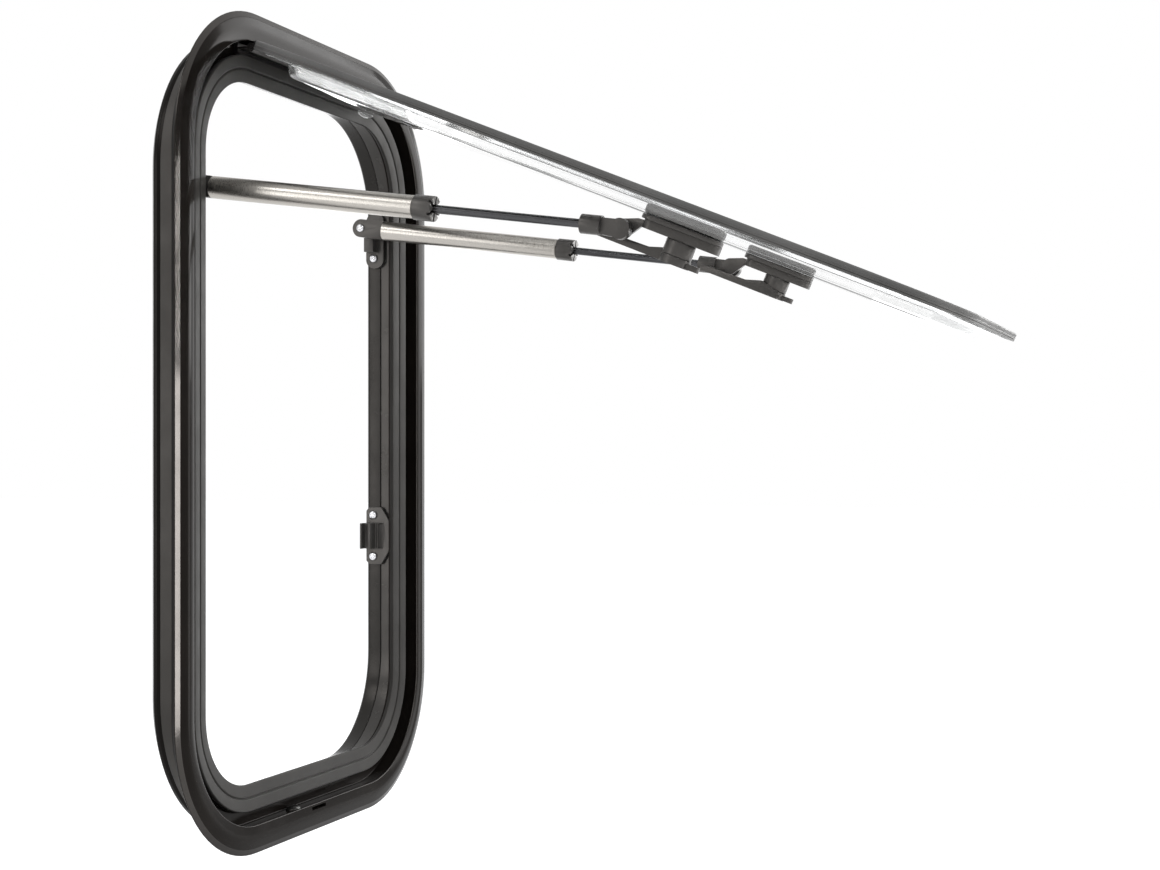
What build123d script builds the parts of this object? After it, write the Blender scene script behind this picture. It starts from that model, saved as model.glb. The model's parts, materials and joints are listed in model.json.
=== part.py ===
from build123d import *
import math
import os

os.makedirs("parts", exist_ok=True)

# Driving sizes in mm. X runs along the width, outside is -Y, +Z is up.
# The wall's outer face is the plane Y = 0. Heights below are from the flange's lower edge,
# and the origin lies ORIGIN_UP above it, on the flange's back at the bottom centre.
ORIGIN_UP = 8.0
WIDTH = 470.0
HEIGHT = 725.0
CORNER_R = 128.0
BODY_CORNER_R = 145.0
WALL_INSET = 20.0
REVEAL_INSET = 49.5
BODY_DEPTH = 25.0
FLOOR_Y = 12.0
GUTTER = (24.4, 36.8)
NOSE_INSET = 25.7
DRAIN_INSET = 22.0

HINGE_Y = -3.0
HINGE_Z = 693.0
HINGE_HALF = 122.0
OPEN_DEG = 67.7

# Sash sizes: distance below the hinge line, and distance inward from it.
SASH_HALF_W = 204.0
SASH_TOP = 12.0
SASH_LEN = 662.0
SASH_R = 99.0
PANE_OUT = -6.9
PANE_T = 3.6
RIM_IN = 0.3
DOME_IN = 11.5
DOME_T = 2.5
DOME_EDGE = 30.0
DOME_SLOPE_DEG = 21.9
DOME_SWELL = 10.0
SWELL_ALONG = 300.0
PLUG_ALONG = 60.0
PLUG_IN = 18.5

# Stays: pivot on the frame, droop of the open stay, and distances from that pivot.
STAY_X = 160.5
STAY_Y = 32.5
STAY_Z = 571.7
STAY_DROP_DEG = 7.756
STAY_LEN = 387.95
TUBE_START = 23.7
TUBE_END = 213.0
COLLAR_END = 229.5
SOCKET_START = 355.8
SOCKET_END = 372.5
TUBE_D = 17.5
ROD_D = 7.0
EYE_HALF = 5.0
KNUCKLE_HALF = 4.0

# Latches, in sash sizes.
LATCH_X = 151.0
LATCH_ALONG = 436.0
BASE_T = 3.7
BAR_T = 7.0
BOSS_R = 12.0
BOSS_H = 12.0
LEVER_T = 6.5
EAR_ALONG = 388.7
EAR_IN = 28.2

NOSE_REACH = 21.0

# Keeper: a channel, open at both ends, that the lever's nose turns into.
KEEPER_Z = 262.0
CHANNEL_HALF = 13.0
CHANNEL_Y = (31.3, 38.8)
LIP_T = 2.0
LIP_X = 169.5
WEB_X = 177.0
SCREW_R = 4.0


def polyline_path(first, *steps):
    """Closed wire in the YZ plane from (inset, depth) points; a pair of points is an arc."""
    def at(p):
        return Vector(0, p[1], p[0])

    edges = []
    here = first
    for step in steps + (first,):
        if isinstance(step[0], tuple):
            edges.append(Edge.make_three_point_arc(at(here), at(step[0]), at(step[1])))
            here = step[1]
        elif step != here:
            edges.append(Edge.make_line(at(here), at(step)))
            here = step
    return Wire(edges)


def perimeter(r):
    """Rounded rectangle of the flange edge, starting at the bottom centre."""
    w = WIDTH / 2
    h = HEIGHT
    k = r * (1 - math.sqrt(0.5))
    pts = [
        (0, 0), (w - r, 0), (w - k, k), (w, r), (w, h - r), (w - k, h - k), (w - r, h),
        (r - w, h), (k - w, h - k), (-w, h - r), (-w, r), (k - w, k), (r - w, 0),
    ]
    p = [Vector(x, 0, z) for x, z in pts]
    edges = [Edge.make_line(p[0], p[1])]
    for i in (1, 4, 7, 10):
        edges.append(Edge.make_three_point_arc(p[i], p[i + 1], p[i + 2]))
        edges.append(Edge.make_line(p[i + 2], p[(i + 3) % 13]))
    return Wire(edges)


def ring(corner, first, *steps):
    """Sweep a profile of (inset, depth) points round an edge with this corner radius."""
    return sweep(Face(polyline_path(first, *steps)), path=perimeter(corner))


def box(x0, x1, y0, y1, z0, z1):
    size = (abs(x1 - x0), abs(y1 - y0), abs(z1 - z0))
    mid = ((x0 + x1) / 2, (y0 + y1) / 2, (z0 + z1) / 2)
    return Pos(*mid) * Box(*size)


def rod_x(x0, x1, y, z, r):
    return Pos((x0 + x1) / 2, y, z) * Rot(0, 90, 0) * Cylinder(r, abs(x1 - x0))


def slab_x(x0, x1, sketch):
    """Extrude a sketch drawn in (y, z) between two x values."""
    low = min(x0, x1)
    return Pos(low, 0, 0) * extrude(Plane.YZ * sketch, amount=abs(x1 - x0))


def polygon(*points):
    return make_face(Polyline(*points, close=True))


def sash_place(shape):
    """Sash parts are drawn hanging from the hinge line, then swung open."""
    return Pos(0, HINGE_Y, HINGE_Z) * Rot(-OPEN_DEG, 0, 0) * shape


def stay_place(shape):
    """Stay parts are drawn hanging from their frame pivot, then swung out."""
    return Pos(0, STAY_Y, STAY_Z) * Rot(STAY_DROP_DEG - 90, 0, 0) * shape


def plate(inset, n0, n1, slope=0):
    """Rounded plate of the sash, a given inset inside its edge, with sides that may slope."""
    wide = 2 * (SASH_HALF_W - inset)
    tall = SASH_LEN - SASH_TOP - 2 * inset
    flat = Plane.ZX * RectangleRounded(tall, wide, SASH_R - inset)
    return Pos(0, n0, -(SASH_TOP + SASH_LEN) / 2) * extrude(flat, amount=n1 - n0, taper=slope)


def dome(inset, depth):
    """Sloping-sided dome whose underside swells towards the hinge end."""
    high = depth + DOME_SWELL
    swell = ThreePointArc(
        (high, 0), (depth + DOME_SWELL / 4, -SWELL_ALONG / 2), (depth, -SWELL_ALONG))
    rest = Polyline(
        (depth, -SWELL_ALONG), (depth, -SASH_LEN), (RIM_IN, -SASH_LEN), (RIM_IN, 0), (high, 0))
    side = slab_x(-SASH_HALF_W, SASH_HALF_W, make_face([swell, rest]))
    return plate(inset, RIM_IN, high, DOME_SLOPE_DEG) & side


def dome_rim(shape):
    """Edges where a dome's sides meet its underside."""
    return [e for e in shape.edges()
            if e.bounding_box().min.Y > RIM_IN + 1 and abs(e.center().Z + SWELL_ALONG) > 1]


def save(name, shape):
    export_step(Pos(0, 0, -ORIGIN_UP) * shape, "parts/" + name + ".step")


def frame_rings():
    """Flange with its gutter, the rear body, two seals and the clamping ring.

    Returns the body and the clamp, which the stay brackets are scribed to.
    """
    wall, reveal, rear = WALL_INSET, REVEAL_INSET, BODY_DEPTH
    gutter_0, gutter_1 = GUTTER
    flange = ring(
        CORNER_R, (wall, -2), (15, -2), (15, 0), (1.2, 0), (0.4, -0.6), (6, -3.4),
        ((16.5, -5.6), (NOSE_INSET, -3.9)), (NOSE_INSET, -2.9), (gutter_0, -1.8),
        (gutter_0, FLOOR_Y), (gutter_1, FLOOR_Y), (gutter_1, 6.5), (57, 10.9), (57, 12.5),
        (reveal, 14), (wall, 14))
    body = ring(
        BODY_CORNER_R, (wall, FLOOR_Y + 0.2), (reveal, FLOOR_Y + 0.2), (reveal, rear - 0.8),
        (reveal - 0.8, rear), (wall, rear))
    drain = box(-6, 6, -14, 4, DRAIN_INSET - 1.5, DRAIN_INSET + 1.5)
    save("outer_frame", flange + body - drain)
    save("sash_seal", ring(
        CORNER_R, (gutter_1, 6.5), (gutter_1, 3.6), (37.6, 2.6), (47, 4.3), (48.2, 6),
        (49.4, 4.6), (59.2, 6.2), (60, 7.2), (59.4, 8.8), (57, 10.9)))
    save("wall_seal", ring(
        CORNER_R, (15.2, -2), (wall, -2), (wall, 13.4), (18.2, 12.6), (15.2, 6)))
    clamp = ring(
        BODY_CORNER_R, (reveal - 0.8, rear), (reveal, rear + 0.8), (reveal, 38), (46.5, 41),
        (38, 41), ((28, 37), (19.2, 30)), (18.9, 27), (wall + 0.4, rear))
    save("inner_clamp", clamp)
    return body, clamp


def hinge_parts():
    bead = 1.7
    socket = 2.3
    hook_r = 4.0
    arm = box(-HINGE_HALF, HINGE_HALF, HINGE_Y, 12, HINGE_Z - 0.8, HINGE_Z + 0.8)
    foot = box(-HINGE_HALF, HINGE_HALF, 8, 12, HINGE_Z - 4.5, HINGE_Z + 5)
    save("hinge_rail", arm + foot + rod_x(-HINGE_HALF, HINGE_HALF, HINGE_Y, HINGE_Z, bead))
    first, last = math.radians(-30), math.radians(96)
    reach = 9.0
    mouth = polygon(
        (0, 0), (reach * math.cos(first), reach * math.sin(first)), (reach, reach),
        (reach * math.cos(last), reach * math.sin(last)))
    web = polygon(
        (-hook_r, -1.6), (-socket, -1.6), (-1, -3), (RIM_IN, -3.5), (RIM_IN, -SASH_TOP),
        (PANE_OUT, -SASH_TOP), (PANE_OUT, -2))
    hook = Circle(hook_r) - mouth + web - Circle(socket)
    save("hinge_profile", sash_place(slab_x(2 - HINGE_HALF, HINGE_HALF - 2, hook)))


def pane_parts():
    seat = PANE_OUT + PANE_T
    outer = plate(0, PANE_OUT, seat)
    outer = chamfer(outer.edges().group_by(Axis.Y)[0], 1.2)
    save("outer_pane", sash_place(outer))
    save("sash_rim", sash_place(plate(0, seat, RIM_IN) - plate(26, seat, RIM_IN)))
    ledge = plate(6, RIM_IN, RIM_IN + 1.8)
    skin = dome(DOME_EDGE, DOME_IN)
    skin = fillet(dome_rim(skin), 5)
    hollow = dome(DOME_EDGE + DOME_T, DOME_IN - DOME_T)
    inner = ledge + skin - hollow
    save("inner_pane", sash_place(inner))
    plug = Pos(0, PLUG_IN, -PLUG_ALONG) * Rot(90, 0, 0) * Cylinder(7, 4)
    save("vent_plug", sash_place(plug - inner))


def oblong(x, wide, along_0, along_1, r, n0, n1):
    """Rounded bar of a latch, lying along the sash."""
    flat = Plane.XZ * RectangleRounded(wide, along_1 - along_0, r)
    return Pos(x, n0, -(along_0 + along_1) / 2) * extrude(flat, amount=n0 - n1)


def latch_parts(side, sign):
    """Spacer inside the dome, base and bar with its ear outside it, and the turning lever."""
    x = sign * LATCH_X
    a = LATCH_ALONG
    n0 = DOME_IN
    n1 = n0 + BASE_T
    n2 = n1 + BAR_T
    n3 = n2 + BOSS_H
    n4 = n3 + LEVER_T
    spacer = oblong(x, 23, a - 37, a + 31, 11, PANE_OUT + PANE_T, n0 - DOME_T)
    save(side + "_latch_spacer", sash_place(spacer))
    base = oblong(x, 24, a - 37, a + 31, 11, n0, n1)
    save(side + "_latch_base", sash_place(base))
    bar = oblong(x, 19, a - 34, a + 31, 8, n1, n2)
    ear = slab_x(sign * LATCH_X, sign * (LATCH_X + 4), polygon(
        (n1, -a + 18), (n1 + 1.5, -EAR_ALONG - 9), (EAR_IN - 6.5, -EAR_ALONG + 4),
        (EAR_IN, -EAR_ALONG), (EAR_IN + 6, -EAR_ALONG - 4.6), (n2, -EAR_ALONG - 13),
        (n2, -a + 18)))
    lobe = rod_x(sign * LATCH_X, sign * (LATCH_X + 4), EAR_IN, -EAR_ALONG, 7.5)
    save(side + "_latch_bracket", sash_place(bar + ear + lobe))
    boss = Pos(x, (n2 + n3) / 2, -a) * Rot(90, 0, 0) * Cylinder(BOSS_R, BOSS_H)
    save(side + "_latch_boss", sash_place(boss))
    arm_out = sign * (LATCH_X - 3.5)
    arm_in = sign * (LATCH_X - 13)
    arm = slab_x(arm_in, arm_out, polygon(
        (n3, -a - 9), (n3 - 4.5, -a + 10.5), (n3, -a + 25), (n3 + 1, -a + 62),
        (n3 + 3.5, -a + 70), (n4, -a + 70), (n4, -a - 9)))
    arm -= Pos(x, n3, -a) * Rot(90, 0, 0) * Cylinder(BOSS_R + 0.05, 2 * LEVER_T)
    hub = Pos(x, n3 + LEVER_T / 2, -a) * Rot(90, 0, 0) * Cylinder(BOSS_R + 0.1, LEVER_T)
    nose = oblong(x, 9, a, a + NOSE_REACH, 4, n3 + 1.5, n4 - 0.5)
    save(side + "_latch_lever", sash_place(arm + hub + nose))


def stay_parts(side, sign):
    x = sign * STAY_X
    eye_r = 9.0
    body = slab_x(x - EYE_HALF, x + EYE_HALF, polygon(
        (-eye_r, 0), (-eye_r, -TUBE_START), (eye_r, -TUBE_START), (eye_r, 0)))
    eye = rod_x(x - EYE_HALF, x + EYE_HALF, 0, 0, eye_r)
    plug = Pos(x, 0, -TUBE_START - 3) * Cylinder(6.3, 6)
    bore = rod_x(x - 9, x + 9, 0, 0, 2.56)
    save(side + "_stay_end", stay_place(body + eye + plug - bore))
    length = TUBE_END - TUBE_START
    tube = Cylinder(TUBE_D / 2, length) - Cylinder(6.5, length)
    save(side + "_stay_tube", stay_place(Pos(x, 0, -TUBE_START - length / 2) * tube))
    length = COLLAR_END - TUBE_END
    collar = Cylinder(10.3, length) - Cylinder(ROD_D / 2 + 0.4, length)
    for turn in range(0, 180, 60):
        collar -= Rot(0, 0, turn + 30) * Pos(0, 0, -length / 2) * Box(24, 2.4, 5)
    save(side + "_stay_collar", stay_place(Pos(x, 0, -TUBE_END - length / 2) * collar))
    inside = 16.0
    start = TUBE_END - inside
    rod = Pos(x, 0, -(start + SOCKET_START) / 2) * Cylinder(ROD_D / 2, SOCKET_START - start)
    save(side + "_stay_rod", stay_place(rod))
    length = SOCKET_END - SOCKET_START
    socket = Pos(x, 0, -SOCKET_START - length / 2) * Cylinder(7.7, length)
    half = KNUCKLE_HALF
    shank = slab_x(x - half, x + half, polygon(
        (-6, -SOCKET_END), (-6, -STAY_LEN + 2), (0, -STAY_LEN), (8.2, -STAY_LEN),
        (7, -SOCKET_END)))
    knuckle = rod_x(x - half, x + half, 1.2, -STAY_LEN, 8.2)
    save(side + "_rod_end", stay_place(socket + shank + knuckle))


def stay_bracket(side, sign, rings):
    wall = sign * (WIDTH / 2 - REVEAL_INSET)
    face = wall - sign * 4
    y0, y1 = 20.0, 39.5
    mid = (y0 + y1) / 2
    tall = 56.0
    foot = Pos(mid, STAY_Z - 10) * RectangleRounded(y1 - y0, tall, 9)
    post = rod_x(sign * (STAY_X + EYE_HALF + 0.5), face, STAY_Y, STAY_Z, 8)
    rib = box(sign * (STAY_X + 12), face, STAY_Y - 5, STAY_Y + 5, STAY_Z - 22, STAY_Z)
    scribed = slab_x(face, wall, foot)
    for piece in rings:
        scribed -= piece
    save(side + "_stay_bracket", scribed + post + rib)
    pin = rod_x(sign * (STAY_X - EYE_HALF), sign * (STAY_X + EYE_HALF + 0.5), STAY_Y, STAY_Z, 2.5)
    head = rod_x(sign * (STAY_X - EYE_HALF - 3), sign * (STAY_X - EYE_HALF), STAY_Y, STAY_Z, SCREW_R)
    save(side + "_pivot_screw", pin + head)
    save(side + "_bracket_screw", rod_x(face, face - sign * 2.5, 31, STAY_Z - 28, SCREW_R))


def keeper(side, sign):
    wall = sign * (WIDTH / 2 - REVEAL_INSET)
    face = wall - sign * 4
    z = KEEPER_Z
    outline = polygon(
        (14, z - 16), (22.5, z - 29), (36, z - 29), (39.5, z - 25.5), (39.5, z + 25.5),
        (36, z + 29), (22.5, z + 29), (14, z + 16))
    base = slab_x(face, wall, outline)
    pocket = box(face - sign, face + sign * 2.2, 20.5, 26.5, z - 12.5, z + 12.5)
    y0, y1 = CHANNEL_Y
    low, high = z - CHANNEL_HALF, z + CHANNEL_HALF
    hook = box(face, sign * LIP_X, y0 - LIP_T, y1 + LIP_T, low, high)
    hook -= box(sign * WEB_X, sign * (LIP_X - 1), y0, y1, low - 1, high + 1)
    save(side + "_keeper", base - pocket + hook)
    upper = rod_x(face, face - sign * 2.5, 31.5, z + 21, SCREW_R)
    lower = rod_x(face, face - sign * 2.5, 31.5, z - 21, SCREW_R)
    save(side + "_keeper_screws", Compound([upper, lower]))


jamb_rings = frame_rings()
hinge_parts()
pane_parts()
for name, direction in (("left", -1), ("right", 1)):
    latch_parts(name, direction)
    stay_parts(name, direction)
    stay_bracket(name, direction, jamb_rings)
    keeper(name, direction)
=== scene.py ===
import json
import math

import bmesh
import bpy
from mathutils import Matrix, Vector


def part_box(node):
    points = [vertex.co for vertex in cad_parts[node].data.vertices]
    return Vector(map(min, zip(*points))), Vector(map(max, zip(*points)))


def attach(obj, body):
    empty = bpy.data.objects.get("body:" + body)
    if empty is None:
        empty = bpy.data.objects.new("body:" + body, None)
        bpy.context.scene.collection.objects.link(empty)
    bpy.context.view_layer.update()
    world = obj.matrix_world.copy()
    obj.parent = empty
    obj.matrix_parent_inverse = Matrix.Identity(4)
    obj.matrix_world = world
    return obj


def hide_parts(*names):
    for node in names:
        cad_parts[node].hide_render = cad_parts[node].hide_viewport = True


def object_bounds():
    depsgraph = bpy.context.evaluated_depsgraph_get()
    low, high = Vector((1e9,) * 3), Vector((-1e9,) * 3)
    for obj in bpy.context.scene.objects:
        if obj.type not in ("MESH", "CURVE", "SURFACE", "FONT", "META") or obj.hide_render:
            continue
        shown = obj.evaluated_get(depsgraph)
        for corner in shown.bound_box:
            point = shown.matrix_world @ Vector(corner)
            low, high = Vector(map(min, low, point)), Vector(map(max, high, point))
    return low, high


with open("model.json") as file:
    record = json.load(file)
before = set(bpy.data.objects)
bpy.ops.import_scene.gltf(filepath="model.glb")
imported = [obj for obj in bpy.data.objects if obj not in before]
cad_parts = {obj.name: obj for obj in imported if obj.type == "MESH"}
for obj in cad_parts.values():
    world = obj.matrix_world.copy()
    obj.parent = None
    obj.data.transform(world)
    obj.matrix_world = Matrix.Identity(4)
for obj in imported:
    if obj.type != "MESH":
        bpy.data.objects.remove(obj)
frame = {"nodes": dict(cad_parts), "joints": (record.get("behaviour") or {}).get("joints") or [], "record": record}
cad_low, cad_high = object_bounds()
nodes = frame["nodes"]
record = frame["record"]
joints = {j["name"]: j for j in frame["joints"]}
slot_of = {p["node"]: p["material_slot"] for p in record["subparts"]}
body_of = {n: b for b, members in record["behaviour"]["bodies"].items() for n in members}

SIDES = (("left", -1), ("right", 1))
MM = 0.001

# The sash: local y points inwards, and local -z runs from the hinge to the lower end.
hinge = joints["sash_hinge"]
OPEN = math.radians(hinge["range_deg"][1])
SASH = Matrix.Translation(hinge["pos_m"]) @ Matrix.Rotation(-OPEN, 4, "X")
HALF_W, TOP, BOTTOM, SASH_R = 204, 12, 662, 99
OUTSIDE, GLUE = -6.9, -3.3
LEDGE, DEPTH, PANE_T = 2.1, 11.5, 2.5
SWELL, SWELL_ALONG = 10.0, 300
SLOPE = 158.1
BORDER_W = 27
LATCH_X = 151

# The frame: insets count from the flange's edge, and depths from the wall's face.
HALF_FLANGE, TALL, DROP = 235, 725, 8
FLANGE_R, BODY_R = 128, 145
# Inset from which the reveal takes its lighter finishes, which paint extra light on the side to the opening
REVEAL_FROM = 45

STAY_DROP = 7.756
SLEEVE_R = 9.35
HEAD_R = 4
BOSS_SLIM = 0.994


# Materials

class Nodes:
    """Short helper round one node tree."""

    def __init__(self, name):
        self.mat = bpy.data.materials.new(name)
        self.mat.use_nodes = True
        self.tree = self.mat.node_tree
        self.shader = self.tree.nodes["Principled BSDF"]
        self.coord = self.add("ShaderNodeTexCoord").outputs["Object"]

    def add(self, kind, **settings):
        node = self.tree.nodes.new(kind)
        for key, value in settings.items():
            setattr(node, key, value)
        return node

    def link(self, a, b):
        self.tree.links.new(a, b)

    def noise(self, scale, detail=4.0, rough=0.55, turn=(0, 0, 0), stretch=(1, 1, 1)):
        mapping = self.add("ShaderNodeMapping")
        mapping.inputs["Rotation"].default_value = turn
        mapping.inputs["Scale"].default_value = stretch
        self.link(self.coord, mapping.inputs["Vector"])
        noise = self.add("ShaderNodeTexNoise")
        noise.inputs["Scale"].default_value = scale
        noise.inputs["Detail"].default_value = detail
        noise.inputs["Roughness"].default_value = rough
        self.link(mapping.outputs["Vector"], noise.inputs["Vector"])
        return noise.outputs["Fac"]

    def ramp(self, fac, *stops):
        ramp = self.add("ShaderNodeValToRGB")
        points = ramp.color_ramp.elements
        for i, (at, colour) in enumerate(stops):
            point = points[i] if i < 2 else points.new(at)
            point.position = at
            point.color = (*colour, 1)
        self.link(fac, ramp.inputs["Fac"])
        return ramp.outputs["Color"]

    def spread(self, fac, low, high, start=0.3, end=0.7):
        span = self.add("ShaderNodeMapRange")
        span.inputs["From Min"].default_value = start
        span.inputs["From Max"].default_value = end
        span.inputs["To Min"].default_value = low
        span.inputs["To Max"].default_value = high
        self.link(fac, span.inputs["Value"])
        return span.outputs["Result"]

    def colour(self, value):
        self.link(value, self.shader.inputs["Base Color"])

    def rough(self, value):
        self.link(value, self.shader.inputs["Roughness"])

    def bump(self, height, strength, distance):
        bump = self.add("ShaderNodeBump")
        bump.inputs["Strength"].default_value = strength
        bump.inputs["Distance"].default_value = distance
        self.link(height, bump.inputs["Height"])
        self.link(bump.outputs["Normal"], self.shader.inputs["Normal"])

    def set(self, **values):
        for key, value in values.items():
            self.shader.inputs[key.replace("_", " ")].default_value = value


WARM = (1.0, 0.93, 0.87, 1)
DULL = 0.036
FADE_FROM, FADE_TO = -0.01, 0.06


def moulded(name, dark, light, gloss, grain, depth, specular, worn=False):
    """Moulded plastic or rubber: cloudy tone, uneven gloss and a fine surface grain."""
    n = Nodes(name)
    n.colour(n.ramp(n.noise(14, 5), (0.3, dark), (0.75, light)))
    n.rough(n.spread(n.noise(38, 6, 0.65), *gloss))
    n.bump(n.noise(grain, 3), 0.25, depth)
    n.set(Specular_IOR_Level=specular, Specular_Tint=WARM)
    if worn:  # polish that fades towards the foot
        split = n.add("ShaderNodeSeparateXYZ")
        n.link(n.coord, split.inputs[0])
        shine = n.spread(split.outputs["Z"], DULL, specular, FADE_FROM, FADE_TO)
        n.link(shine, n.shader.inputs["Specular IOR Level"])
    return n.mat


def brushed(name, dark, light, gloss, turn):
    """Metal with fine streaks along its length."""
    n = Nodes(name)
    streak = n.noise(1, 6, 0.7, turn, (2600, 2600, 14))
    n.colour(n.ramp(streak, (0.25, dark), (0.75, light)))
    n.rough(n.spread(streak, *gloss))
    n.bump(streak, 0.12, 0.00008)
    n.set(Metallic=1.0, Anisotropic=0.55)
    return n.mat


def acrylic(name, tint, cover, gloss):
    """Clear moulded sheet: see-through head-on, and a mirror where it is seen along its face."""
    n = Nodes(name)
    deep = tuple(0.94 * c for c in tint)
    n.colour(n.ramp(n.noise(9, 3), (0.3, deep), (0.7, tint)))
    n.rough(n.spread(n.noise(60, 5), *gloss))
    facing = n.add("ShaderNodeLayerWeight").outputs["Facing"]
    grazing = n.add("ShaderNodeMath", operation="POWER")
    grazing.inputs[1].default_value = 5
    n.link(facing, grazing.inputs[0])
    n.link(n.spread(grazing.outputs[0], cover, 1, 0, 1), n.shader.inputs["Alpha"])
    n.set(Metallic=1.0)
    return n.mat


# Dark tone, light tone, roughness, grain scale, grain depth, specular level
BLACK = (0.0075, 0.0062, 0.0054), (0.0125, 0.0105, 0.009)
MOULDED = {
    "frame_black": (*BLACK, (0.1, 0.17), 700, 0.00003, DULL),
    "flange_edge": (*BLACK, (0.1, 0.16), 700, 0.00003, 0.45, True),
    "clamp_black": (
        (0.005, 0.0045, 0.004), (0.009, 0.0082, 0.0074), (0.2, 0.3), 700, 0.00003, 0.08),
    # Lighter copy of clamp_black: its lighter tone is painted light on the clamp's side to the opening
    "clamp_reveal": (
        (0.011, 0.0107, 0.01), (0.018, 0.0174, 0.0163), (0.2, 0.3), 900, 0.00003, 0.2),
    # Lighter, glossier copy of body_satin: the gloss is its own, the lighter tone is painted light on the reveal
    "reveal_gloss": (
        (0.03, 0.029, 0.0275), (0.045, 0.0437, 0.0415), (0.2, 0.3), 900, 0.00003, 0.3),
    "body_satin": (
        (0.026, 0.0245, 0.0225), (0.042, 0.0395, 0.0365), (0.34, 0.48), 1100, 0.00004, 0.3),
    "seal_rubber": (
        (0.025, 0.024, 0.0225), (0.039, 0.0375, 0.0355), (0.3, 0.44), 1400, 0.00004, 0.08),
    "wall_rubber": (
        (0.005, 0.005, 0.0047), (0.009, 0.0088, 0.0083), (0.4, 0.55), 1400, 0.00004, 0.12),
    "hinge_black": (
        (0.014, 0.013, 0.0125), (0.022, 0.0205, 0.0195), (0.3, 0.42), 1200, 0.00004, 0.3),
    "rim_grey": (
        (0.07, 0.069, 0.067), (0.12, 0.118, 0.115), (0.42, 0.55), 1300, 0.00001, 0.3),
    "pane_border": (
        (0.095, 0.0945, 0.092), (0.145, 0.1435, 0.14), (0.5, 0.62), 900, 0.00001, 0.2),
    "latch_plastic": (
        (0.042, 0.0405, 0.0385), (0.068, 0.0655, 0.0625), (0.28, 0.4), 1500, 0.00006, 0.5),
}
# Dark tone, light tone, roughness, turn of the streaks
ALONG_STAY = (math.radians(-82.2), 0, 0)
BRUSHED = {
    "stainless": ((0.33, 0.312, 0.285), (0.52, 0.495, 0.46), (0.22, 0.36), ALONG_STAY),
    "rod_steel": ((0.05, 0.05, 0.052), (0.09, 0.09, 0.093), (0.14, 0.24), ALONG_STAY),
    "screw_zinc": ((0.6, 0.6, 0.62), (0.78, 0.78, 0.8), (0.18, 0.32), (0, 1.57, 0)),
    "spacer_silver": ((0.88, 0.885, 0.89), (0.95, 0.955, 0.96), (0.04, 0.1), (0, 0, 0)),
}
# Tint, least cover, roughness
ACRYLIC = {
    "tinted_acrylic": ((0.3, 0.32, 0.33), 0.17, (0.02, 0.06)),
    "clear_acrylic": ((0.86, 0.865, 0.86), 0.07, (0.01, 0.05)),
    # Dark and nearly opaque: painted shade lines along the dome's bend
    "acrylic_bend": ((0.05, 0.052, 0.052), 0.65, (0.1, 0.2)),
    # Light grey and less clear: a painted reflection along the dome's lower end
    "acrylic_end": ((0.56, 0.565, 0.56), 0.13, (0.1, 0.2)),
}
FINISH = {}
for make, looks in ((moulded, MOULDED), (brushed, BRUSHED), (acrylic, ACRYLIC)):
    FINISH.update({name: make(name, *look) for name, look in looks.items()})

for name, obj in nodes.items():
    obj.data.materials.clear()
    obj.data.materials.append(FINISH[slot_of[name]])


# Pieces

def piece(name, mesh, node, finishes=(), stands_for=()):
    """Put a mesh on the body of a CAD node, in the finishes given or else the node's own."""
    obj = bpy.data.objects.new(name, mesh)
    bpy.context.scene.collection.objects.link(obj)
    for finish in finishes or [slot_of[node]]:
        mesh.materials.append(FINISH[finish])
    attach(obj, body_of[node])
    if stands_for:
        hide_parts(*stands_for)
    return obj


def finish_mesh(bm, name, sharp=35):
    """Mesh from a bmesh, smooth but for edges above the sharp angle in degrees."""
    bmesh.ops.recalc_face_normals(bm, faces=bm.faces)
    mesh = bpy.data.meshes.new(name)
    bm.to_mesh(mesh)
    bm.free()
    mesh.set_sharp_from_angle(angle=math.radians(sharp))
    return mesh


def soften(node, width, segments=3):
    """A moulded part: the CAD node's own form with its edges rounded over."""
    bm = bmesh.new()
    bm.from_mesh(nodes[node].data)
    bmesh.ops.remove_doubles(bm, verts=bm.verts, dist=0.01 * MM)
    bmesh.ops.dissolve_limit(
        bm, angle_limit=math.radians(1), verts=bm.verts, edges=bm.edges)
    if node.endswith("latch_boss"):  # clear of the bracket that it turns on
        low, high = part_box(node)
        middle = (low + high) / 2
        slim = Matrix.Scale(BOSS_SLIM, 4) @ Matrix.Translation(-middle)
        bmesh.ops.transform(bm, matrix=Matrix.Translation(middle) @ slim, verts=bm.verts)
    mesh = bpy.data.meshes.new(node + "_moulded")
    bm.to_mesh(mesh)
    bm.free()
    obj = piece(node + "_moulded", mesh, node, stands_for=[node])
    bevel = obj.modifiers.new("round", "BEVEL")
    bevel.width = width
    bevel.segments = segments
    bevel.limit_method = "ANGLE"
    bevel.angle_limit = math.radians(40)
    bevel.harden_normals = True
    for p in mesh.polygons:
        p.use_smooth = True
    return obj


def lathe(bm, profile, matrix, segments=40):
    """Turn (radius, height) points in mm about the local z axis."""
    rings = []
    for radius, height in profile:
        r, h = radius * MM, height * MM
        ring = []
        for i in range(segments):
            a = 2 * math.pi * i / segments
            ring.append(bm.verts.new(matrix @ Vector((r * math.cos(a), r * math.sin(a), h))))
        rings.append(ring)
    for a, b in zip(rings, rings[1:]):
        skirt(bm, a, b)
    bm.faces.new(rings[0][::-1])
    bm.faces.new(rings[-1])


def skirt(bm, a, b, index=0):
    """Faces between two closed loops of vertices."""
    for i in range(len(a)):
        j = (i + 1) % len(a)
        bm.faces.new((a[i], a[j], b[j], b[i])).material_index = index


def block(bm, matrix, size):
    """Box of a full size in metres at a placement."""
    made = bmesh.ops.create_cube(bm, size=1)
    bmesh.ops.transform(bm, matrix=matrix @ Matrix.Diagonal((*size, 1)), verts=made["verts"])


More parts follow.
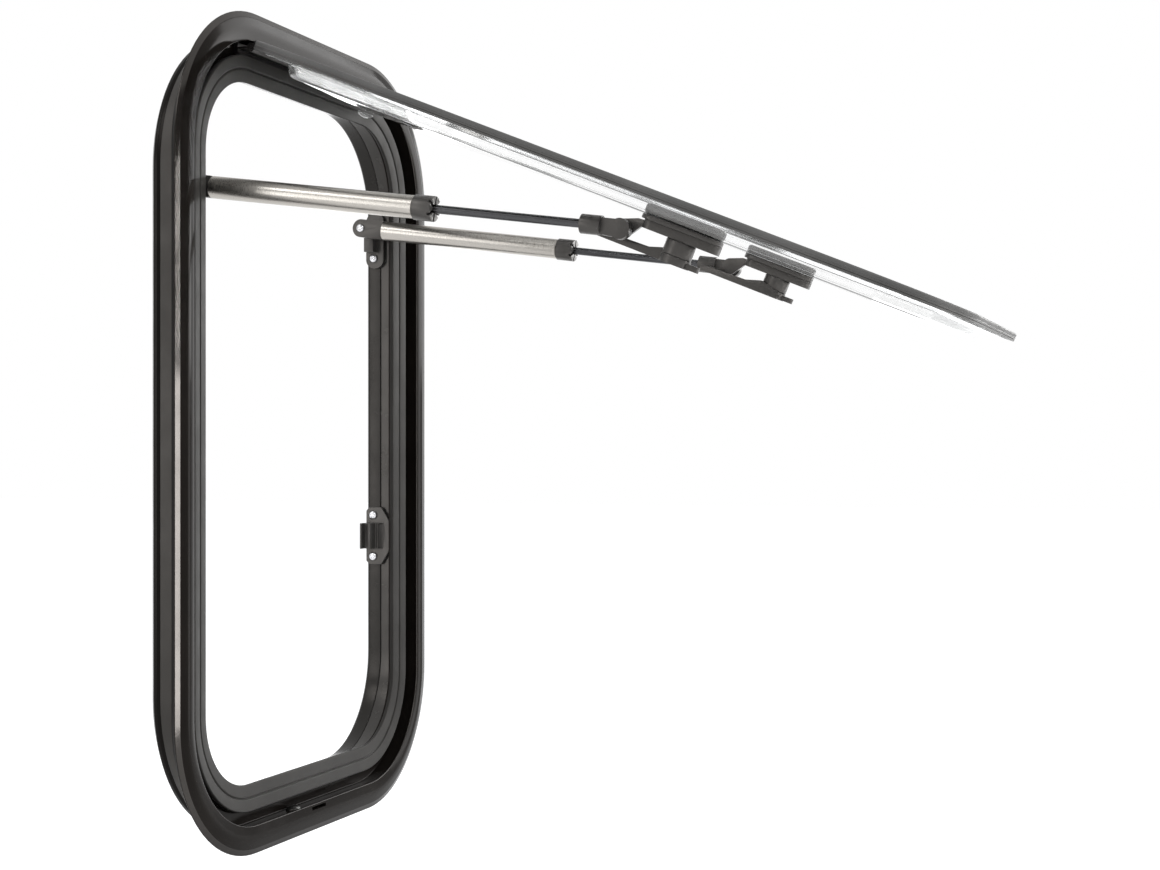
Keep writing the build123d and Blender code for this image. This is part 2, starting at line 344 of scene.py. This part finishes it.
def cut(obj, bm_tool, sharp=35):
    """Subtract a tool from a piece, and keep the result as the piece's mesh."""
    mesh = bpy.data.meshes.new("tool")
    bm_tool.to_mesh(mesh)
    bm_tool.free()
    tool = bpy.data.objects.new("tool", mesh)
    bpy.context.scene.collection.objects.link(tool)
    mod = obj.modifiers.new("cut", "BOOLEAN")
    mod.object = tool
    mod.solver = "EXACT"
    mod.use_self = True
    graph = bpy.context.evaluated_depsgraph_get()
    result = bpy.data.meshes.new_from_object(obj.evaluated_get(graph))
    obj.modifiers.clear()
    obj.data = result
    bpy.data.objects.remove(tool)
    result.set_sharp_from_angle(angle=math.radians(sharp))


# Screws

def into_opening(seat, sign):
    """Placement on a jamb's face, with its z axis pointing into the opening."""
    return Matrix.Translation(seat) @ Matrix.Rotation(-sign * math.pi / 2, 4, "Y")


def cross_recess(obj, face, top, reach, half, depth):
    """Cut a cross for the driver into a screw's head."""
    place = face @ Matrix.Translation((0, 0, top * MM))
    tool = bmesh.new()
    for wide, tall in ((reach, half), (half, reach)):
        block(tool, place, (2 * wide * MM, 2 * tall * MM, 2 * depth * MM))
    cut(obj, tool)


def screw_at(name, node, seat, sign):
    """Pan-head screw with a cross recess, facing into the opening."""
    face = into_opening(seat, sign) @ Matrix.Rotation(0.5 + seat[2] * 9, 4, "Z")
    head = [(HEAD_R, -0.9), (HEAD_R, 0.9), (3.8, 1.5), (3.3, 2.0), (2.4, 2.35), (1.2, 2.5)]
    bm = bmesh.new()
    lathe(bm, head, face)
    obj = piece(name, finish_mesh(bm, name), node, stands_for=[node])
    cross_recess(obj, face, 2.6, 2.1, 0.42, 1.3)


def counterbore(holder, seat, sign):
    """Shallow round recess under a screw's head."""
    tool = bmesh.new()
    lathe(tool, [(HEAD_R + 1, -0.9), (HEAD_R + 1, 4)], into_opening(seat, sign), 32)
    bmesh.ops.recalc_face_normals(tool, faces=tool.faces)
    cut(holder, tool, 20)


def screws(side, sign, bracket, keeper):
    """Screws of one side's stay bracket and keeper, each in its recess."""
    def ends(node):
        low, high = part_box(node)
        return low, high, high.x if sign > 0 else low.x

    node = side + "_bracket_screw"
    low, high, x = ends(node)
    seats = [(node, "_head", (x, *((low + high) / 2).yz), bracket)]
    node = side + "_keeper_screws"
    low, high, x = ends(node)
    for tail, z in (("_lower", low.z + HEAD_R * MM), ("_upper", high.z - HEAD_R * MM)):
        seats.append((node, tail, (x, (low.y + high.y) / 2, z), keeper))
    for node, tail, seat, holder in seats:
        counterbore(holder, seat, sign)
        screw_at(node + tail, node, seat, sign)


def pivot_head(side, sign):
    """Pivot screw through the eye of a stay, with a cross recess."""
    node = side + "_pivot_screw"
    low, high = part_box(node)
    mid = (low + high) / 2
    face = into_opening(Vector((sign * 155.5 * MM, mid.y, mid.z)), sign)
    shank = [(2.5, -10.4), (2.5, 0)]
    head = [(HEAD_R, 0), (HEAD_R, 1), (3.8, 1.7), (3.3, 2.3), (2.4, 2.75), (1.2, 3)]
    bm = bmesh.new()
    lathe(bm, shank + head, face)
    obj = piece(node + "_head", finish_mesh(bm, node + "_head"), node, stands_for=[node])
    cross_recess(obj, face, 3.1, 2.2, 0.45, 1.4)


# Sash

def half_outline(inset, steps=14, side=16):
    """Right half of the sash's rounded rectangle as (x, along) points, hinge end first."""
    w = HALF_W - inset
    r = max(1, SASH_R - inset)
    first, last = TOP + inset + r, BOTTOM - inset - r
    turns = [math.pi / 2 * i / steps for i in range(steps + 1)]
    points = [(w - r + r * math.sin(t), first - r * math.cos(t)) for t in turns]
    points += [(w, first + (last - first) * i / side) for i in range(1, side)]
    return points + [(w - r + r * math.cos(t), last + r * math.sin(t)) for t in turns]


def swollen(inset, n, k):
    """One point of a sash sheet; the dome swells towards the hinge end and its middle."""
    x, along = half_outline(inset)[k]
    share = max(0, (n - LEDGE) / (DEPTH - LEDGE)) * min(1, max(0, (inset - 33) / 80))
    push = share * SWELL * max(0, 1 - along / SWELL_ALONG) ** 2
    return Vector((x, n + push, -along))


def sash_loops(bm, rings):
    """One closed loop of vertices round the sash for each ring of (inset, inward, index)."""
    loops = []
    for inset, n, _ in rings:
        right = [swollen(inset, n, k) for k in range(len(half_outline(inset)))]
        both = right + [Vector((-p.x, p.y, p.z)) for p in reversed(right)]
        loops.append([bm.verts.new(SASH @ (p * MM)) for p in both])
    return loops


def shell(name, node, rings, finishes, at_end=0):
    """Closed sheet of the sash from rings of (inset, inward, index of a finish).

    at_end is the index for the slopes at the lower end, where they have a lighter, less clear finish of their own:
    a painted light-grey reflection.
    """
    bm = bmesh.new()
    loops = sash_loops(bm, rings)
    for a, b, ring in zip(loops, loops[1:], rings):
        skirt(bm, a, b, ring[2])
    for loop, ring in ((loops[0], rings[0]), (loops[-1], rings[-1])):
        for i in range(len(loop) // 2 - 1):
            quad = (loop[i], loop[i + 1], loop[-2 - i], loop[-1 - i])
            bm.faces.new(quad).material_index = ring[2]
    # The lower end's slopes take the painted reflection finish
    for face in bm.faces if at_end else ():
        middle = SASH.inverted() @ face.calc_center_median() / MM
        sloping = LEDGE < middle.y < DEPTH - 0.3
        if sloping and middle.z < -595 and face.material_index == 0:
            face.material_index = at_end
    piece(name, finish_mesh(bm, name, 28), node, finishes, [node])


def sash_border():
    """Border between the panes: grooved outside, with a bright bevelled spacer inside."""
    outside = [
        (0.4, GLUE), (0.1, -3.0), (0.1, -1.7), (0.8, -1.5), (0.1, -1.3), (0.1, 0), (0.4, 0.3)]
    rings = [(s, n, 0) for s, n in outside]
    rings += [(25.8, 0.3, 0), (26.4, -0.3, 1), (29.4, GLUE, 0)]
    bm = bmesh.new()
    loops = sash_loops(bm, rings)
    for i, ring in enumerate(rings):
        skirt(bm, loops[i], loops[(i + 1) % len(loops)], ring[2])
    mesh = finish_mesh(bm, "sash_rim_border", 28)
    piece("sash_rim_border", mesh, "sash_rim", ["rim_grey", "spacer_silver"], ["sash_rim"])


def arc(cx, cy, r, start, end, steps):
    """Points of an arc as (inset, inward)."""
    span = [start + (end - start) * i / steps for i in range(steps + 1)]
    return [(cx + r * math.cos(math.radians(a)), cy + r * math.sin(math.radians(a))) for a in span]


def panes():
    """Both sheets of the sash; the inner one is domed, with sloping sides."""
    edge = BORDER_W - 0.1
    outer = [(BORDER_W, GLUE, 0), (edge, GLUE, 1), (0.3, GLUE, 1)]
    outer += [(s, n, 1) for s, n in arc(1.6, OUTSIDE + 1.6, 1.6, 180, 270, 6)]
    outer += [(edge, OUTSIDE, 0), (BORDER_W, OUTSIDE, 0)]
    shell("outer_pane_sheet", "outer_pane", outer, ["tinted_acrylic", "pane_border"])

    across = (150, 125, 105, 85, 68, 54)
    under = [(s, DEPTH - PANE_T) for s in across] + arc(38, 6, 3, 90, SLOPE, 6)
    rim = [(32.5, 0.3), (6.4, 0.3)] + arc(6.9, 1.2, 0.9, 270, 90, 6)
    foot = arc(29.8, 3.5, 1.4, 270, SLOPE + 180, 5)
    bend = arc(37.9, 6.5, 5, SLOPE, 90, 9)
    skin = [(s, n, 0) for s, n in under + rim + foot]
    # The middle of the bend takes the dark finish: a painted shade line along the crease
    skin += [(s, n, 1 if 4 <= i <= 7 else 0) for i, (s, n) in enumerate(bend)]
    skin += [(s, DEPTH, 0) for s in reversed(across)]
    finishes = ["clear_acrylic", "acrylic_bend", "acrylic_end"]
    shell("inner_pane_sheet", "inner_pane", skin, finishes, 2)


def latch_pad(side, sign):
    """Rounded pad behind each latch, from between the panes through the dome."""
    node = side + "_latch_spacer"
    pad_r, ends = 11.4, ((410.5, 180), (455.5, 0))
    edge = arc(3.2, 8.2, 3.2, 90, 180, 5) + arc(2.6, 5.1, 2.6, 180, 270, 5)
    bm = bmesh.new()
    loops = []
    for inset, n in [(9, 11.4)] + edge + [(9, 2.5)]:
        r = pad_r - inset
        loop = []
        for along, start in ends:
            for i in range(13):
                t = math.radians(start + 180 * i / 12)
                x, z = sign * LATCH_X + r * math.cos(t), -along - r * math.sin(t)
                loop.append(bm.verts.new(SASH @ (Vector((x, n, z)) * MM)))
        loops.append(loop)
    for a, b in zip(loops, loops[1:]):
        skirt(bm, a, b)
    bm.faces.new(loops[0])
    bm.faces.new(loops[-1])
    piece(node + "_pad", finish_mesh(bm, node + "_pad"), node, stands_for=[node])


def vent_knob():
    """Small rounded plug on the dome, near the hinge end."""
    seat = SASH @ Matrix.Translation(Vector((0, 16.6, -60)) * MM)
    turns = (0, 0.4, 0.8, 1.2, 1.5)
    cap = [(1.5 + 5.5 * math.cos(t), 1.2 + 3.2 * math.sin(t)) for t in turns]
    bm = bmesh.new()
    lathe(bm, [(7, 0)] + cap, seat @ Matrix.Rotation(-math.pi / 2, 4, "X"))
    mesh = finish_mesh(bm, "vent_plug_knob")
    piece("vent_plug_knob", mesh, "vent_plug", stands_for=["vent_plug"])


def stay_sleeve(side):
    """Drawn tube of a stay with rolled ends."""
    node = side + "_stay_tube"
    pivot = joints[side + "_stay_pivot"]["pos_m"]
    place = Matrix.Translation(pivot) @ Matrix.Rotation(math.radians(STAY_DROP - 90), 4, "X")
    place = place @ Matrix.Rotation(math.pi, 4, "X")
    bore, start, end = 6.5, 23.8, 212.8
    shape = [(bore, start), (SLEEVE_R - 0.8, start), (SLEEVE_R, start + 0.8)]
    shape += [(SLEEVE_R, end - 0.8), (SLEEVE_R - 0.7, end), (bore, end)]
    bm = bmesh.new()
    lathe(bm, shape, place, 56)
    piece(node + "_sleeve", finish_mesh(bm, node + "_sleeve"), node, stands_for=[node])


# Frame

def rounded(corners, steps=5):
    """Closed profile of (inset, depth) points from corners that each carry a radius."""
    points = []
    for i, (s, y, r) in enumerate(corners):
        here = Vector((s, y))
        back = (Vector(corners[i - 1][:2]) - here).normalized()
        ahead = (Vector(corners[(i + 1) % len(corners)][:2]) - here).normalized()
        half = back.angle(ahead) / 2
        if r == 0 or half > 1.55:
            points.append(here)
            continue
        run = r / math.tan(half)
        middle = here + (back + ahead).normalized() * (r / math.sin(half))
        first, last = here + back * run - middle, here + ahead * run - middle
        turn = first.angle_signed(last)
        for k in range(steps + 1):
            points.append(middle + Matrix.Rotation(-turn * k / steps, 2) @ first)
    return points


def swept(bm, corners, radius, finish, steps=24):
    """Sweep a rounded profile round the flange; finish picks an index by (inset, depth)."""
    profile = rounded(corners)
    side, low, high = HALF_FLANGE - radius, radius, TALL - radius
    loops = []
    for quarter, (cx, cz) in enumerate(((side, high), (-side, high), (-side, low), (side, low))):
        for k in range(steps + 1):
            a = math.pi / 2 * (quarter + k / steps)
            loop = []
            for s, y in profile:
                x, z = cx + (radius - s) * math.cos(a), cz + (radius - s) * math.sin(a)
                loop.append(bm.verts.new(Vector((x, y, z - DROP)) * MM))
            loops.append(loop)
    for i, a in enumerate(loops):
        b = loops[(i + 1) % len(loops)]
        for j in range(len(a)):
            k = (j + 1) % len(a)
            middle = (profile[j] + profile[k]) / 2
            bm.faces.new((a[j], a[k], b[k], b[j])).material_index = finish(*middle)


def flange_finish(s, y):
    """Polished along the outer edge and the nose, plain elsewhere."""
    edge = s < 5.8 and y < -1
    nose = 25.1 < s < 26 and y < -2.6
    return 2 if edge or nose else 0


def outer_frame():
    """Flange with gutter and the body behind it, with a drain slot at the bottom."""
    bm = bmesh.new()
    swept(bm, [
        (20, -2, 0), (15, -2, 0), (15, 0, 0), (1.5, 0, 0.3), (0.3, -1.1, 0.6), (1.1, -1.409, 0),
        (6, -3.3, 3), (15.5, -5.5, 20), (25.7, -4.0, 0.6), (25.7, -2.9, 0.4), (24.4, -1.8, 0.6),
        (24.4, 12, 1.2), (36.8, 12, 1.2), (36.8, 6.5, 0), (57, 10.9, 0), (57, 12.5, 0.3),
        (49.5, 14, 0), (20, 14, 0),
    ], FLANGE_R, flange_finish)
    # The body's side to the opening takes the lighter copy of its finish, as painted light
    swept(bm, [
        (20, 12.2, 0), (49.5, 12.2, 0), (49.5, 24.4, 0.5), (48.6, 25, 0), (20.5, 25, 0),
        (20, 24.5, 0.3),
    ], BODY_R, lambda s, y: 3 if s > REVEAL_FROM else 1)
    mesh = finish_mesh(bm, "outer_frame_moulding", 40)
    finishes = ["frame_black", "body_satin", "flange_edge", "reveal_gloss"]
    obj = piece("outer_frame_moulding", mesh, "outer_frame", finishes, ["outer_frame"])
    slot = bmesh.new()
    block(slot, Matrix.Translation((0, -0.005, 0.014)), (0.026, 0.018, 0.003))
    cut(obj, slot)


def ring(node, radius, corners, *finishes):
    """Seal or clamp round the frame; a second finish is a lighter copy for its side to the opening, where it
    paints extra light.
    """
    bm = bmesh.new()
    swept(bm, corners, radius, lambda s, y: 1 if len(finishes) > 1 and s > REVEAL_FROM else 0)
    piece(node + "_moulding", finish_mesh(bm, node + "_moulding", 40), node, finishes, [node])


def gutter_bead():
    """Low round bead on the floor of the bottom gutter, beside the drain slot."""
    bm = bmesh.new()
    made = bmesh.ops.create_uvsphere(bm, u_segments=28, v_segments=14, radius=1)
    size = Matrix.Diagonal((0.009, 0.006, 0.0042, 1))
    place = Matrix.Translation((-0.031, 0.005, 0.0164)) @ size
    bmesh.ops.transform(bm, matrix=place, verts=made["verts"])
    piece("gutter_bead", finish_mesh(bm, "gutter_bead"), "outer_frame", ["clamp_reveal"])


panes()
sash_border()
vent_knob()
outer_frame()
ring("sash_seal", FLANGE_R, [
    (36.8, 6.5, 0), (36.8, 3.5, 0.6), (37.5, 2.6, 0.8), (47, 4.3, 0.8), (48.2, 6, 0.4),
    (49.4, 4.6, 0.6), (59.2, 6.2, 0.8), (60, 7.2, 0.8), (59.4, 8.8, 0.8), (57, 10.9, 0)])
ring("wall_seal", FLANGE_R, [
    (15.2, -2, 0), (20, -2, 0), (20, 13.4, 0.3), (18.2, 12.6, 1), (15.2, 6, 2)], "wall_rubber")
ring("inner_clamp", BODY_R, [
    (48.8, 25, 0), (49.5, 25.7, 0.4), (49.5, 38.6, 3), (46.5, 41, 2.5), (38, 41, 6),
    (28, 37.2, 14), (19, 30.2, 2.5), (18.9, 27, 1.2), (20.4, 25, 0)],
    "clamp_black", "clamp_reveal")
gutter_bead()

ROUNDING = {
    "latch_base": 0.8, "latch_bracket": 0.9, "latch_boss": 1.0, "latch_lever": 1.1,
    "stay_bracket": 1.0, "keeper": 0.9, "stay_end": 1.0, "rod_end": 1.0, "stay_collar": 0.5,
}
for side, sign in SIDES:
    soft = {part: soften(side + "_" + part, r * MM) for part, r in ROUNDING.items()}
    screws(side, sign, soft["stay_bracket"], soft["keeper"])
    pivot_head(side, sign)
    latch_pad(side, sign)
    stay_sleeve(side)


# Light, floor and camera

def lit_white(tree):
    """1 where a camera, glossy or transmitted ray looks, else 0."""
    path = tree.nodes.new("ShaderNodeLightPath")
    first = tree.nodes.new("ShaderNodeMath")
    first.operation = "MAXIMUM"
    second = tree.nodes.new("ShaderNodeMath")
    second.operation = "MAXIMUM"
    tree.links.new(path.outputs["Is Camera Ray"], first.inputs[0])
    tree.links.new(path.outputs["Is Glossy Ray"], first.inputs[1])
    tree.links.new(first.outputs[0], second.inputs[0])
    tree.links.new(path.outputs["Is Transmission Ray"], second.inputs[1])
    return second.outputs[0]


def studio():
    """White surroundings that light the object softly."""
    world = bpy.data.worlds.new("studio")
    bpy.context.scene.world = world
    world.use_nodes = True
    tree = world.node_tree
    soft = tree.nodes["Background"]
    soft.inputs["Color"].default_value = (0.95, 0.97, 1, 1)
    soft.inputs["Strength"].default_value = 0.55
    white = tree.nodes.new("ShaderNodeBackground")
    mix = tree.nodes.new("ShaderNodeMixShader")
    white.inputs["Color"].default_value = (1, 1, 1, 1)
    tree.links.new(lit_white(tree), mix.inputs["Fac"])
    tree.links.new(soft.outputs[0], mix.inputs[1])
    tree.links.new(white.outputs[0], mix.inputs[2])
    tree.links.new(mix.outputs[0], tree.nodes["World Output"].inputs["Surface"])


def floor():
    """Plain pale floor that keeps the object's shadow."""
    bm = bmesh.new()
    bmesh.ops.create_grid(bm, x_segments=4, y_segments=4, size=20)
    mesh = bpy.data.meshes.new("floor")
    bm.to_mesh(mesh)
    bm.free()
    obj = bpy.data.objects.new("floor", mesh)
    bpy.context.scene.collection.objects.link(obj)
    obj.location.z = cad_low.z - 0.3
    mat = bpy.data.materials.new("pale_floor")
    mat.use_nodes = True
    tree = mat.node_tree
    tree.nodes.remove(tree.nodes["Principled BSDF"])
    pale = tree.nodes.new("ShaderNodeBsdfDiffuse")
    pale.inputs["Color"].default_value = (0.62, 0.62, 0.62, 1)
    glow = tree.nodes.new("ShaderNodeEmission")
    scale = tree.nodes.new("ShaderNodeMath")
    scale.operation = "MULTIPLY"
    scale.inputs[1].default_value = 0.72
    both = tree.nodes.new("ShaderNodeAddShader")
    tree.links.new(lit_white(tree), scale.inputs[0])
    tree.links.new(scale.outputs[0], glow.inputs["Strength"])
    tree.links.new(pale.outputs[0], both.inputs[0])
    tree.links.new(glow.outputs[0], both.inputs[1])
    tree.links.new(both.outputs[0], tree.nodes["Material Output"].inputs["Surface"])
    mesh.materials.append(mat)


def lamp(name, place, aim, size, power):
    """Rectangular lamp of a size in metres and a power in watts, aimed at a point."""
    light = bpy.data.lights.new(name, "AREA")
    light.shape = "RECTANGLE"
    light.size, light.size_y = size
    light.energy = power
    obj = bpy.data.objects.new(name, light)
    obj.location = place
    obj.rotation_euler = (Vector(aim) - Vector(place)).to_track_quat("-Z", "Y").to_euler()
    bpy.context.scene.collection.objects.link(obj)


def camera():
    """Camera of the photograph, from a fit to the frame's outline."""
    cam = bpy.data.cameras.new("photo")
    cam.sensor_width = 36
    cam.lens = 56.76
    cam.shift_y = 0.0157
    obj = bpy.data.objects.new("photo", cam)
    obj.location = (-1.4906, -0.8084, 0.3378)
    obj.rotation_euler = (math.radians(90), 0, math.radians(-69.78))
    bpy.context.scene.collection.objects.link(obj)
    bpy.context.scene.camera = obj


studio()
floor()
lamp("key", (-1.3, -1.6, 1.9), (0, -0.2, 0.4), (1.2, 0.9), 20)
lamp("front", (0.43, -2.5, 0.45), (-0.1, 0, 0.36), (0.3, 1.8), 24)
lamp("fill", (2.0, -1.15, 1.2), (0, 0, 0.6), (0.9, 1.4), 26)
lamp("low", (2.07, -1.67, 0.35), (0.22, 0, 0.36), (0.35, 1.3), 7)
lamp("beyond", (2.41, -0.325, 0.42), (0.2, 0, 0.36), (0.6, 1.5), 5)
lamp("side", (-1.9, 1.15, 0.5), (0, -0.1, 0.45), (0.5, 1.1), 7)
lamp("high", (-1.75, 1.1, 1.95), (0, -0.2, 0.5), (0.5, 0.7), 8)
lamp("rim", (2.3, 1.2, 0.6), (0, 0, 0.4), (0.5, 1.6), 6)
camera()
bpy.context.scene.view_settings.view_transform = "Standard"
